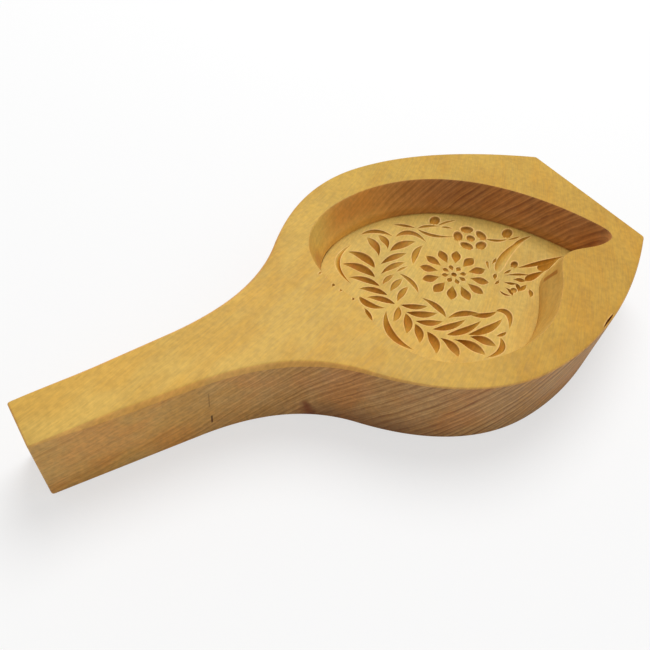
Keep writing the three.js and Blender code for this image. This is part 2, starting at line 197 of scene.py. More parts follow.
# Dished cuts: middle, half length, half width, turn in degrees and depth.
BUDS = [
    [(81.7, 32.4), 3.6, 2.6, 20, 1.4],
    [(109.8, 8.1), 3.9, 2.5, 20, 1.4],
    [(97, -10.1), 2.5, 1.7, 20, 1.4],
    [(84.4, -22.4), 1.9, 1.5, 10, 0.8],
]
BLOSSOM_MIDDLE = (89.9, 13.7)
BLOSSOM_HEART = 2.3
BLOSSOM_HEART_DEPTH = 1.2
BLOSSOM_PETALS = 5
BLOSSOM_RING = 6.4
PETAL_LENGTH = 4.9
PETAL_WIDTH = 7
PETAL_DEPTH = 1.4
BLOSSOM_TURN = -6
ROSETTE_MIDDLE = (65.5, -2)
ROSETTE_RADIUS = 16.5
ROSETTE_PETALS = 12
ROSETTE_PETAL_WIDTH = 4.8
ROSETTE_DEPTH = 2
HEART_RADIUS = 6.2
HEART_PETALS = 8
HEART_PETAL_WIDTH = 2.5
HEART_DEPTH = 1.2
ROSETTE_GAP = 0.9
ROSETTE_DOT = 1.4
RAY_WIDEST = 0.6


# Plan curves

# An inset corner moves no further than the inset over this.
LEAST_MITER = 0.5

# A point of an inset outline that lies this much too near the outline belongs to a loop.
INSET_SLACK = 0.012


def bezier(*controls, count=48):
    """Points on a quadratic or cubic curve, the last one left out."""
    t = np.linspace(0, 1, count + 1)[:-1, None]
    degree = len(controls) - 1
    terms = (comb(degree, k) * t ** k * (1 - t) ** (degree - k) for k in range(degree + 1))
    return sum(term * point for term, point in zip(terms, controls))


def resample(points, step):
    """The open line again, with even spacing and both its ends."""
    run = np.concatenate([[0], np.cumsum(norm(np.diff(points, axis=0), axis=1))])
    at = np.linspace(0, run[-1], max(2, round(run[-1] / step) + 1))
    return np.stack([np.interp(at, run, points[:, axis]) for axis in (0, 1)], axis=1)


def unit(vectors):
    return vectors / norm(vectors, axis=1)[:, None]


def inward_normals(outline):
    """For each corner the way inward, longer where the corner is sharp."""
    arrive = unit(outline - np.roll(outline, 1, axis=0))
    leave = unit(np.roll(outline, -1, axis=0) - outline)
    along = unit(arrive + leave)
    miter = np.maximum((along * leave).sum(1), LEAST_MITER)
    return np.column_stack([-along[:, 1], along[:, 0]]) / miter[:, None]


def gap_to(points, outline):
    """Distance of each point to a closed outline."""
    side = np.roll(outline, -1, axis=0) - outline
    best = np.full(len(points), np.inf)
    for a, d in zip(outline, side):
        share = np.clip(((points - a) @ d) / (d @ d), 0, 1)
        best = np.minimum(best, norm(points - a - share[:, None] * d, axis=1))
    return best


def inside(points, outline):
    """True for each point that lies in a closed outline."""
    result = np.zeros(len(points), bool)
    for a, b in zip(outline, np.roll(outline, -1, axis=0)):
        spans = (a[1] > points[:, 1]) != (b[1] > points[:, 1])
        if spans.any():
            cross = a[0] + (points[:, 1] - a[1]) * (b[0] - a[0]) / (b[1] - a[1])
            result ^= spans & (points[:, 0] < cross)
    return result


def crossing(a, b, c, d):
    """Where the line through a and b meets the line through c and d."""
    first, second = b - a, d - c
    turn = first[0] * second[1] - first[1] * second[0]
    share = ((c - a)[0] * second[1] - (c - a)[1] * second[0]) / turn
    return a + first * share


def inset_outline(outline, inset):
    """Moves an outline inward. At a sharp corner the points that would loop all meet in one."""
    moved = outline + inward_normals(outline) * inset
    good = gap_to(moved, outline) > inset - INSET_SLACK
    count = len(outline)
    starts = [i for i in range(count) if good[i] and not good[(i + 1) % count]]
    for last in starts:
        after = last + 1
        while not good[after % count]:
            after += 1
        meet = crossing(moved[last - 1], moved[last], moved[after % count], moved[(after + 1) % count])
        moved[np.arange(last + 1, after) % count] = meet
    return moved


def board_outline():
    """Counterclockwise, from the near corner of the handle end, with every upright corner eased."""
    end_half, neck_half = HANDLE_END_WIDTH / 2, NECK_WIDTH / 2
    shoulder_half, bowl_half, cut_half = SHOULDER_WIDTH / 2, BOWL_WIDTH / 2, CUT_END_WIDTH / 2
    slope = tan(radians(SHOULDER_ANGLE))
    handle_slope = (neck_half - end_half) / NECK_AT
    flare_at = (shoulder_half - slope * SHOULDER_AT - end_half) / (handle_slope - slope)
    flare_half = end_half + handle_slope * flare_at
    swell_at = SHOULDER_AT + (bowl_half - shoulder_half) / slope
    near = np.vstack([
        [(HANDLE_END_SKEW, -end_half)],
        bezier((NECK_AT, -neck_half), (flare_at, -flare_half), (SHOULDER_AT, -shoulder_half)),
        bezier((SHOULDER_AT, -shoulder_half), (swell_at, -bowl_half), (BOWL_AT, -bowl_half)),
        bezier((BOWL_AT, -bowl_half), (BOWL_AT + CUT_END_LEAD, -bowl_half), (BOARD_LENGTH, -cut_half)),
        [(BOARD_LENGTH, -cut_half)],
    ])
    far = near[::-1] * (1, -1)
    far[-1, 0] = -HANDLE_END_SKEW
    lines = [near, np.array([near[-1], far[0]]), far, np.array([far[-1], near[0]])]
    sides = [resample(line, OUTLINE_STEP) for line in lines]

    def eased(corner, neighbour):
        return corner + (neighbour - corner) / OUTLINE_STEP * CORNER_EASING

    rounded = []
    for side, following in zip(sides, sides[1:] + sides[:1]):
        start, stop = eased(side[0], side[1]), eased(side[-1], side[-2])
        onward = eased(following[0], following[1])
        rounded += [[start], side[2:-2], bezier(stop, following[0], onward, count=CORNER_STEPS)]
    return np.vstack(rounded)


def peach_outline():
    """The hollow's rim, counterclockwise from the heel's cleft."""
    lines = [
        bezier((4.5, -6), (-0.3, -39), (17.3, -53), (45.5, -55.1)),
        bezier((45.5, -55.1), (69.5, -56.1), (83.4, -45.9), (97.5, -31.8)),
        bezier((97.5, -31.8), (108.9, -19.5), (118.5, -31.5), (131.5, -29.3)),
        bezier((131.5, -29.3), (137.6, -29), (137.1, -22.5), count=16),
        bezier((137.1, -22.5), (129.9, 5.2), (102.8, 51.5), (49.7, 51.5)),
        bezier((49.7, 51.5), (22.5, 51.5), (-13.7, 38), (4.5, -6)),
        [(4.5, -6)],
    ]
    points = resample(np.vstack(lines), RIM_STEP)[:-1]
    return points + (CAVITY_START, 0)


# Cuts

# What a cut leaves at each point of the mesh beside the depth: how deep its bottom is where it is brown,
# the share down its bank and the share toward its lip, where a painted highlight goes
FIELDS = ("cut_depth", "cut_bank", "cut_lip_highlight")

# The bank of a cut on this side is the steeper one, so the deepest line lies off the middle.
STEEP_SIDE = np.array([-0.57, -0.82])
LEAN = 0.4
BANK_ROUND = 1.4

# The lip, a pale band of painted highlight, starts just within the edge of a cut.
LIP_START = -0.02
LIP_REACH = 0.6

# From its edge a bank turns brown over this share. A bare one is brown only this near to its bottom.
EDGE_SHARE = 0.12
BARE_SHARE = 0.6

# Lines of the mesh down a cut's banks, and its rings in a dish
BANK_SHARES = (0.35, 0.65, 1 - EDGE_SHARE)
DISH_SHARES = (1, 1 - EDGE_SHARE, 0.7, 0.45, 0.2)
FEWEST_CUT_STEPS = 10
FEWEST_DISH_STEPS = 8

# How much less a dish leans toward its edge, and the least share of its size that it keeps
DISH_UPRIGHT = 0.35
DISH_LEAST = 0.2

# Where a leaf's cut is widest and deepest, from its stem
LEAF_WIDEST = 0.45
LEAF_DEEPEST = 0.36


def lip_at(beyond):
    """1 on the edge of a cut, less on the way outward and 0 within."""
    return np.where(beyond > LIP_START, np.clip(1 - beyond / LIP_REACH, 0, 1), 0)


class Cut:
    """One gouge cut: a bent centre line with a width and a depth along it."""

    def __init__(self, start, via, end, width, depth, peak=0.5, deepest=None, bare=0):
        self.width, self.depth, self.bare = width, depth, bare
        length = dist(start, via) + dist(via, end)
        self.share = np.linspace(0, 1, max(FEWEST_CUT_STEPS, round(length / CUT_STEP)) + 1)
        t = self.share[:, None]
        a, b, c = np.array((start, via, end), float) + (CAVITY_START, 0)
        self.line = (1 - t) ** 2 * a + 2 * t * (1 - t) * b + t ** 2 * c
        along = unit((1 - t) * (b - a) + t * (c - b))
        self.side = np.column_stack([-along[:, 1], along[:, 0]])
        self.lean = LEAN * (self.side @ STEEP_SIDE if not bare else np.full(len(t), -bare))
        self.swell = self.hump(peak)
        self.drop = self.hump(deepest or peak)

    def hump(self, peak):
        """Rises from 0 at the start to 1 at the peak, and falls to 0 at the end."""
        height = np.sin(pi * self.share ** (log(0.5) / log(peak)))
        height[-1] = 0
        return height

    def rib(self, place, beyond=0):
        """The line at a share of the half width, and some way beyond it."""
        return self.line + self.side * (self.swell * self.width / 2 * place + beyond)[:, None]

    def ribs(self):
        """Lines that the mesh has to follow, both edges and the bottom, and loose points between."""
        edges = [self.rib(place) for place in (-1, self.lean, 1)]
        places = [self.lean + (end - self.lean) * share for end in (-1, 1) for share in BANK_SHARES]
        loose = [self.rib(place)[2:-2] for place in places]
        loose += [self.rib(end, end * LIP_REACH)[2:-2] for end in (-1, 1)]
        return edges, loose

    def shape_at(self, points):
        """For each point how deep it is cut, and then its fields."""
        fields = np.zeros((len(points), 1 + len(FIELDS)))
        low, high = self.line.min(0) - self.width, self.line.max(0) + self.width
        near = np.flatnonzero(((points > low) & (points < high)).all(1))
        if not len(near):
            return fields
        gap = points[near, None] - self.line
        nearest = (gap ** 2).sum(2).argmin(1)
        gap, side = gap[np.arange(len(near)), nearest], self.side[nearest]
        forward = gap[:, 0] * side[:, 1] - gap[:, 1] * side[:, 0]
        step = norm(np.diff(self.line, axis=0), axis=1).mean()
        at, steps = nearest + forward / step, np.arange(len(self.line))
        swell, drop, lean = (np.interp(at, steps, field) for field in (self.swell, self.drop, self.lean))
        off = (gap * side).sum(1)
        half = np.maximum(swell * self.width / 2, MEET)
        place = off / half
        share = np.where(place > lean, (place - lean) / (1 - lean), (lean - place) / (1 + lean))
        share = np.clip(share, 0, 1)
        gentle = (place - lean) * self.bare > 0
        brown = np.where(gentle, 1 - share / BARE_SHARE, (1 - share) / EDGE_SHARE)
        deep = self.depth * drop
        lip = np.clip(swell * 2, 0, 1) * lip_at(np.abs(off) - half)
        values = [deep * (1 - share ** BANK_ROUND), deep * np.clip(brown, 0, 1), 1 - share, lip]
        fields[near] = np.column_stack(values)
        return fields


class Dish:
    """One dished cut, oval in plan."""

    def __init__(self, middle, half_length, half_width, turn, depth):
        self.middle = np.array(middle) + (CAVITY_START, 0)
        self.half = np.array([half_length, half_width])
        self.depth = depth
        turn = radians(turn)
        self.axes = np.array([(cos(turn), sin(turn)), (-sin(turn), cos(turn))])

    def ribs(self):
        rings = []
        for share in (*DISH_SHARES, 1 + LIP_REACH / self.half.min()):
            count = max(FEWEST_DISH_STEPS, round(2 * pi * self.half.max() * share / CUT_STEP))
            angle = np.linspace(0, 2 * pi, count + 1)
            oval = np.column_stack([np.cos(angle), np.sin(angle)]) * self.half * share
            rings.append(self.middle + oval @ self.axes)
        return rings[:1], rings[1:] + [self.middle[None]]

    def shape_at(self, points):
        apart = points - self.middle
        far = norm(apart @ self.axes.T / self.half, axis=1)
        # The deepest point lies off the middle, as in the other cuts.
        toward = apart @ STEEP_SIDE / self.half.mean()
        share = far / np.maximum(1 + LEAN * (toward - DISH_UPRIGHT * far), DISH_LEAST)
        share = np.where(far < 1, np.clip(share, 0, 1), 1)
        within = np.clip((1 - far) / EDGE_SHARE, 0, 1)
        lip = lip_at((far - 1) * self.half.mean())
        return np.column_stack([self.depth * (1 - share ** 2), self.depth * within, 1 - share, lip])


def leaf_cut(stem, tip, bow, width, depth, peak=LEAF_WIDEST):
    """A cut whose middle line bows to the left by so much."""
    stem, tip = np.array((stem, tip), float)
    chord = tip - stem
    bend = np.array([-chord[1], chord[0]]) / norm(chord) * 2 * bow
    return Cut(stem, (stem + tip) / 2 + bend, tip, width, depth, peak, LEAF_DEEPEST)


def around(middle, radius, degrees):
    angle = radians(degrees)
    return middle[0] + radius * cos(angle), middle[1] + radius * sin(angle)


def rays(count, inner, outer, width, depth):
    """A ring of petals round the rosette's middle."""
    cuts = []
    for i in range(count):
        turn = 360 / count * (i + 0.5)
        ends = [around(ROSETTE_MIDDLE, radius, turn) for radius in (inner, (inner + outer) / 2, outer)]
        cuts.append(Cut(*ends, width, depth, RAY_WIDEST))
    return cuts


def all_cuts():
    cuts = [leaf_cut(*leaf) for leaf in LEAVES]
    cuts += [Cut(*line) for line in BORDER + TWIGS + BUTTERFLY]
    cuts += [Dish(*bud) for bud in BUDS]
    cuts.append(Dish(BLOSSOM_MIDDLE, BLOSSOM_HEART, BLOSSOM_HEART, 0, BLOSSOM_HEART_DEPTH))
    for i in range(BLOSSOM_PETALS):
        turn = BLOSSOM_TURN + 360 / BLOSSOM_PETALS * i
        place = around(BLOSSOM_MIDDLE, BLOSSOM_RING, turn)
        cuts.append(Dish(place, PETAL_LENGTH / 2, PETAL_WIDTH / 2, turn, PETAL_DEPTH))
    cuts.append(Dish(ROSETTE_MIDDLE, ROSETTE_DOT, ROSETTE_DOT, 0, HEART_DEPTH))
    inner, outer = ROSETTE_DOT + ROSETTE_GAP, HEART_RADIUS + ROSETTE_GAP
    cuts += rays(HEART_PETALS, inner, HEART_RADIUS, HEART_PETAL_WIDTH, HEART_DEPTH)
    cuts += rays(ROSETTE_PETALS, outer, ROSETTE_RADIUS, ROSETTE_PETAL_WIDTH, ROSETTE_DEPTH)
    return cuts


# Mesh

# Kinds of face, in the order of their materials
TOP, SIDE, WALL, FLOOR = range(4)

# Points of a level sheet nearer than this are one.
SHEET_MEET = 1e-5

# The eased edge in shares of its size: inward from the side and down from the top
EASED_EDGE = [(0.1, 0.88), (0.5, 0.42), (0.75, 0.19), (1, 0.05), (1.25, 0)]
RIM_ROUND = 0.3

# Level faces sink a little: how deep, in waves of what size, with what seed, and how far from the edge
TOP_SINK = (0.06, 60, 3, 6)
FLOOR_SINK = (0.1, 22, 8, 3)
WAVES = 7

# The floor's grid leaves out points that a cut changes by so much. Cuts fade toward the floor's edge,
# and lips where cuts meet.
GRID_CLEAR = 0.01
CUT_FADE = 0.5
LIP_FADE = 0.3

# Joining vertices and dropping thin faces, in metres, and the angle of edges that stay sharp
JOIN_DISTANCE = 2e-6
THIN_DISTANCE = 1e-6
SHARP_ANGLE = 24


class Builder:
    """Gathers vertices and faces of the one mesh, each face with its material."""

    def __init__(self):
        self.points, self.faces, self.slots, self.fields = [], [], [], []

    def add(self, points, fields=None):
        first = sum(len(p) for p in self.points)
        self.points.append(np.asarray(points, float))
        self.fields.append(np.zeros((len(points), len(FIELDS))) if fields is None else fields)
        return np.arange(first, first + len(points))

    def ring(self, plan, height):
        return self.add(np.column_stack([plan, np.broadcast_to(height, len(plan))]))

    def plan(self, ids):
        return np.vstack(self.points)[ids, :2]

    def band(self, lower, upper, slot):
        """Quads between two closed rings of equally many vertices."""
        self.faces += zip(lower, np.roll(lower, -1), np.roll(upper, -1), upper)
        self.slots += [slot] * len(lower)

    def sheet(self, rings, lines, loose, height, slot, flip=False):
        """A level sheet within the first ring of vertices and outside the others. It follows the lines."""
        ids = np.concatenate(rings)
        plan, edges, faces = [self.plan(ids)], [], []
        start = 0
        for ring in rings:
            part = self.plan(ring)
            apart = norm(part - np.roll(part, 1, axis=0), axis=1) > MEET
            faces.append((start + np.flatnonzero(apart)).tolist())
            start += len(ring)
        for line in lines:
            plan.append(line)
            edges += [(start + i, start + i + 1) for i in range(len(line) - 1)]
            start += len(line)
        plan += loose
        found = delaunay_2d_cdt([Vector(p) for p in np.vstack(plan)], edges, faces, 0, SHEET_MEET)
        places = np.array([tuple(place) for place in found[0]])
        triangles, sources, within = found[2], found[3], found[5]
        new_id = {new: ids[k] for new, old in enumerate(sources) for k in old if k < len(ids)}
        free = [i for i in range(len(places)) if i not in new_id]
        heights, fields = height(places[free])
        new_id.update(zip(free, self.add(np.column_stack([places[free], heights]), fields)))
        for triangle, sheets in zip(triangles, within):
            if set(sheets) == {0}:
                ordered = triangle[::-1] if flip else triangle
                self.faces.append(tuple(new_id[i] for i in ordered))
                self.slots.append(slot)


def lattice(outline, step, margin):
    """Points of a triangular grid that lie in an outline, clear of its edge."""
    low, high = outline.min(0), outline.max(0)
    rows = []
    for k, y in enumerate(np.arange(low[1], high[1], step * sqrt(0.75))):
        x = np.arange(low[0] + (k % 2) * step / 2, high[0], step)
        rows.append(np.column_stack([x, np.full_like(x, y)]))
    grid = np.vstack(rows)
    grid = grid[inside(grid, outline)]
    return grid[gap_to(grid, outline) > margin]


def ripple(points, size, seed):
    """A soft uneven surface, the mean of a few waves in fixed directions."""
    random = np.random.default_rng(seed)
    total = np.zeros(len(points))
    for _ in range(WAVES):
        turn, phase = random.uniform(0, 2 * pi, 2)
        stretch = random.uniform(0.6, 1.6)
        wave = points @ (cos(turn), sin(turn))
        total += np.sin(wave * 2 * pi / (size * stretch) + phase)
    return total / WAVES


def sunk(points, gap, depth, size, seed, reach):
    """How far a level face lies lower at each point, given the points' gap to its edges."""
    return depth * np.clip(gap / reach, 0, 1) * (1 + ripple(points, size, seed))


def easing_at(x):
    """The size of the eased edge, larger along the grip."""
    def smooth(low, high):
        share = np.clip((x - low) / (high - low), 0, 1)
        return share * share * (3 - 2 * share)
    rise = smooth(0, GRIP_EASED_FROM)
    fall = 1 - smooth((GRIP_EASED_FROM + GRIP_EASED_TO) / 2, GRIP_EASED_TO)
    return BOWL_EASING + (GRIP_EASING - BOWL_EASING) * rise * fall


def add_sides(maker):
    """Rings from the underside's bevel up to the end of the eased edge."""
    outline = board_outline()
    normals = inward_normals(outline)
    easing = easing_at(outline[:, 0])
    turns = [pi / 2 * k / BEVEL_RINGS for k in range(BEVEL_RINGS + 1)]
    steps = [(UNDERSIDE_BEVEL * (1 - sin(turn)), UNDERSIDE_BEVEL * (1 - cos(turn))) for turn in turns]
    upright = BOARD_THICKNESS - easing - UNDERSIDE_BEVEL
    steps += [(0, UNDERSIDE_BEVEL + upright * k / SIDE_RINGS) for k in range(1, SIDE_RINGS + 1)]
    steps += [(easing * inward, BOARD_THICKNESS - easing * down) for inward, down in EASED_EDGE]
    rings = []
    for inset, height in steps:
        plan = outline + normals * np.broadcast_to(inset, len(outline))[:, None]
        rings.append(maker.ring(plan, height))
    for lower, upper in zip(rings, rings[1:]):
        maker.band(lower, upper, SIDE)
    return rings


def add_wall(maker, rim, foot):
    """Rings from the hollow's eased rim down to the foot of its wall."""
    outward = -inward_normals(rim) * RIM_EASING
    rings = [maker.ring(rim + outward, BOARD_THICKNESS)]
    rings.append(maker.ring(rim + outward * RIM_ROUND, BOARD_THICKNESS - RIM_EASING * RIM_ROUND))
    eased = len(rings)
    band_top = CAVITY_DEPTH - BAND_HEIGHT
    depths = np.concatenate([np.linspace(RIM_EASING, band_top, WALL_RINGS),
                             np.linspace(band_top, CAVITY_DEPTH, BAND_RINGS + 1)[1:]])
    shares = np.interp(depths, (0, band_top, CAVITY_DEPTH), (0, BAND_SHARE, 1))
    for depth, share in zip(depths, shares):
        rings.append(maker.ring(rim + (foot - rim) * share, BOARD_THICKNESS - depth))
    for k, (upper, lower) in enumerate(zip(rings, rings[1:])):
        maker.band(lower, upper, TOP if k < eased else WALL)
    return rings


def add_top(maker, edge, rim_ring):
    """The level face between the eased edge and the hollow's rim, with its nicks and its split."""
    outer, inner = maker.plan(edge), maker.plan(rim_ring)
    grid = lattice(outer, TOP_STEP, TOP_MARGIN)
    grid = grid[~inside(grid, inner)]
    grid = grid[gap_to(grid, inner) > TOP_MARGIN]
    nicks = [Cut(*nick) for nick in NICKS]
    loose = [grid]
    for line in [line for nick in nicks for line in sum(nick.ribs(), [])]:
        on_top = inside(line, outer) & ~inside(line, inner)
        on_top &= gap_to(line, inner) > NICK_MARGIN_RIM
        on_top &= gap_to(line, outer) > NICK_MARGIN_OUTSIDE
        loose.append(line[on_top])

    def top_height(points):
        gap = np.minimum(gap_to(points, outer), gap_to(points, inner))
        fields = np.max([nick.shape_at(points) for nick in nicks], axis=0)
        return BOARD_THICKNESS - sunk(points, gap, *TOP_SINK) - fields[:, 0], fields[:, 1:]

    maker.sheet([edge, rim_ring], [], loose, top_height, TOP)


def add_underside(maker, ring):
    grid = lattice(maker.plan(ring), UNDERSIDE_STEP, UNDERSIDE_MARGIN)
    maker.sheet([ring], [], [grid], lambda points: (np.zeros(len(points)), None), SIDE, flip=True)


def add_floor(maker, ring, foot):
    """The hollow's floor with the picture cut into it."""
    cuts = all_cuts()
    lines, loose = [], []
    room = foot[norm(foot - np.roll(foot, 1, axis=0), axis=1) > MEET]

    def clear(points):
        return inside(points, room) & (gap_to(points, room) > CUT_MARGIN)

    for cut in cuts:
        edges, rest = cut.ribs()
        for line in edges:
            kept = line[clear(line)]
            (lines if len(kept) == len(line) else loose).append(kept)
        loose += [line[clear(line)] for line in rest]

    def carve(points):
        fields = np.zeros((len(points), 1 + len(FIELDS)))
        for cut in cuts:
            fields = np.maximum(fields, cut.shape_at(points))
        # Where two cuts meet there is no lip between them.
        fields[:, -1] *= np.clip(1 - fields[:, 0] / LIP_FADE, 0, 1)
        return fields * np.clip(gap_to(points, room) / CUT_FADE, 0, 1)[:, None]

    def floor_height(points):
        fields = carve(points)
        lower = sunk(points, gap_to(points, room), *FLOOR_SINK)
        return FLOOR_HEIGHT - fields[:, 0] - lower, fields[:, 1:]

    grid = lattice(room, FLOOR_STEP, FLOOR_MARGIN)
    grid = grid[carve(grid).max(1) < GRID_CLEAR]
    maker.sheet([ring], lines, loose + [grid], floor_height, FLOOR)


def build_mould():
    maker = Builder()
    sides = add_sides(maker)
    rim = peach_outline()
    foot = inset_outline(rim, CAVITY_DEPTH * tan(radians(WALL_DRAFT))) + FLOOR_OFFSET
    wall = add_wall(maker, rim, foot)
    add_top(maker, sides[-1], wall[0])
    add_underside(maker, sides[0])
    add_floor(maker, wall[-1], foot)
    return maker


def add_object(name, data):
    made = bpy.data.objects.new(name, data)
    bpy.context.scene.collection.objects.link(made)
    return made


def mesh_from(maker, name, materials):
    """The gathered mesh in the row frame, in metres, with the fields of its cuts."""
    points = np.vstack(maker.points) - (ORIGIN_AT, 0, 0)
    mesh = bpy.data.meshes.new(name)
    mesh.from_pydata((points / PER_METRE).tolist(), [], [list(map(int, face)) for face in maker.faces])
    for material in materials:
        mesh.materials.append(material)
    mesh.polygons.foreach_set("material_index", np.array(maker.slots, np.int32))
    for field, values in zip(FIELDS, np.vstack(maker.fields).T):
        attribute = mesh.attributes.new(field, "FLOAT", "POINT")
        attribute.data.foreach_set("value", values.astype(np.float32))
    return mesh


def clean(mesh):
    """Joins the vertices that meet and drops faces without area."""
    work = bmesh.new()
    work.from_mesh(mesh)
    bmesh.ops.remove_doubles(work, verts=work.verts, dist=JOIN_DISTANCE)
    bmesh.ops.dissolve_degenerate(work, edges=work.edges, dist=THIN_DISTANCE)
    work.to_mesh(mesh)
    work.free()
    mesh.polygons.foreach_set("use_smooth", [True] * len(mesh.polygons))
    mesh.set_sharp_from_angle(angle=radians(SHARP_ANGLE))
    mesh.update()


# Materials

# The growth rings are one bent field through the plank, so that their lines run on from face to face:
# a point's ring is RING_TILT_Y * y + z less the rise along X, which is slow in the grip and steep after.
RING_TILT_Y = 0.76
RING_RISE_GRIP = 0.25
RING_RISE_MORE = 0.5
RING_BEND = (20 - ORIGIN_AT, 125 - ORIGIN_AT)
RING_WAVE = 4.5
RING_WAVE_SCALE = 0.03
RING_PITCH = 5.4

# Families of rings, 5.4, 3.5 and 2.1 mm apart: how many to one of the widest, and where they start
RING_FAMILIES = ((1, 0), (1.55, 0.4), (2.6, 0.15))

# Length, width and depth of streaks along the rings, fibre, flecks and warmer patches, and the scales
# of two even patterns
FINE_STREAKS = (18, 3.5, 9)
BROAD_STREAKS = (45, 8.4, 20)
FIBRE_SIZE = (7, 0.8, 1.5)
FLECK_SIZE = (2.8, 0.7, 1)
WARMTH_SIZE = (30, 14, 14)
BLOTCH_SCALE = 0.05
MOTTLE_SCALE = 0.45

# The fibre runs this much to +Y along X, and more from a place on toward the sawn end.
FIBRE_SLOPE = 0.36
FIBRE_BEND = 0.0025
FIBRE_BENDS_FROM = -7

# Surface of the bare wood
ROUGHNESS = (0.55, 0.69)
SHINE = 0.3
RELIEF = 0.25
RELIEF_HEIGHT = 0.0002
WARM_TINT = (0.98, 0.91, 0.76)
RUDDY_TINT = (1, 0.88, 0.82)

# Where one look fades into the next, in places along the board
RINGS_WIDEN = (60, 150)
# Over this span the top takes on painted shade toward the sawn end.
TOP_PAINTED_SHADE_SPAN = (70, 210)
GRIP_TO_BOWL = (35, 110)
NEAR_WALL_ENDS = (257, 248)
FLOOR_DARKENS = (185, 222)


def linear(color):
    """A colour as it is seen on a screen, 0 to 255, in the linear values that the shader takes."""
    shares = (value / 255 for value in color)
    return tuple(v / 12.92 if v <= 0.04045 else ((v + 0.055) / 1.055) ** 2.4 for v in shares)


class Nodes:
    """Adds nodes to a tree and links them. Colours are given as they are seen on a screen."""

    def __init__(self, tree):
        self.tree = tree

    def add(self, kind, inputs=(), out=0, **settings):
        node = self.tree.nodes.new("ShaderNode" + kind)
        for key, value in settings.items():
            setattr(node, key, value)
        for key, value in dict(inputs).items():
            if isinstance(value, bpy.types.NodeSocket):
                self.tree.links.new(value, node.inputs[key])
            else:
                node.inputs[key].default_value = value
        return node.outputs[out]

    def math(self, operation, a, b=0, c=0):
        return self.add("Math", {0: a, 1: b, 2: c}, operation=operation)

    plus = partialmethod(math, "ADD")
    minus = partialmethod(math, "SUBTRACT")
    times = partialmethod(math, "MULTIPLY")
    over = partialmethod(math, "DIVIDE")
    # A value times a slope, and a start added
    line = partialmethod(math, "MULTIPLY_ADD")

    def tint(self, vector, by):
        return self.add("VectorMath", {0: vector, 1: by}, operation="MULTIPLY")

    def distance(self, a, b):
        return self.add("VectorMath", {0: a, 1: b}, out=1, operation="DISTANCE")

    def field(self, name):
        return self.add("Attribute", out=2, attribute_name=name)

    def noise(self, place, scale, detail):
        return self.add("TexNoise", {"Vector": place, "Scale": scale, "Detail": detail})

    def drawn(self, place, size, detail=2):
        """A noise drawn out to a length, a width and a depth."""
        return self.noise(self.join(*map(self.over, place, size)), 1, detail)

    def ramp(self, value, low, high, to_low=0, to_high=1):
        inputs = {"Value": value, "From Min": low, "From Max": high, "To Min": to_low, "To Max": to_high}
        return self.add("MapRange", inputs, interpolation_type="SMOOTHSTEP")

    def split(self, vector):
        return tuple(self.add("SeparateXYZ", {0: vector}).node.outputs)

    def join(self, x, y, z):
        return self.add("CombineXYZ", {0: x, 1: y, 2: z})

    def mix(self, share, a, b):
        inputs = {0: share}
        for key, value in ((6, a), (7, b)):
            inputs[key] = (*linear(value), 1) if isinstance(value, tuple) else value
        return self.add("Mix", inputs, out=2, data_type="RGBA")


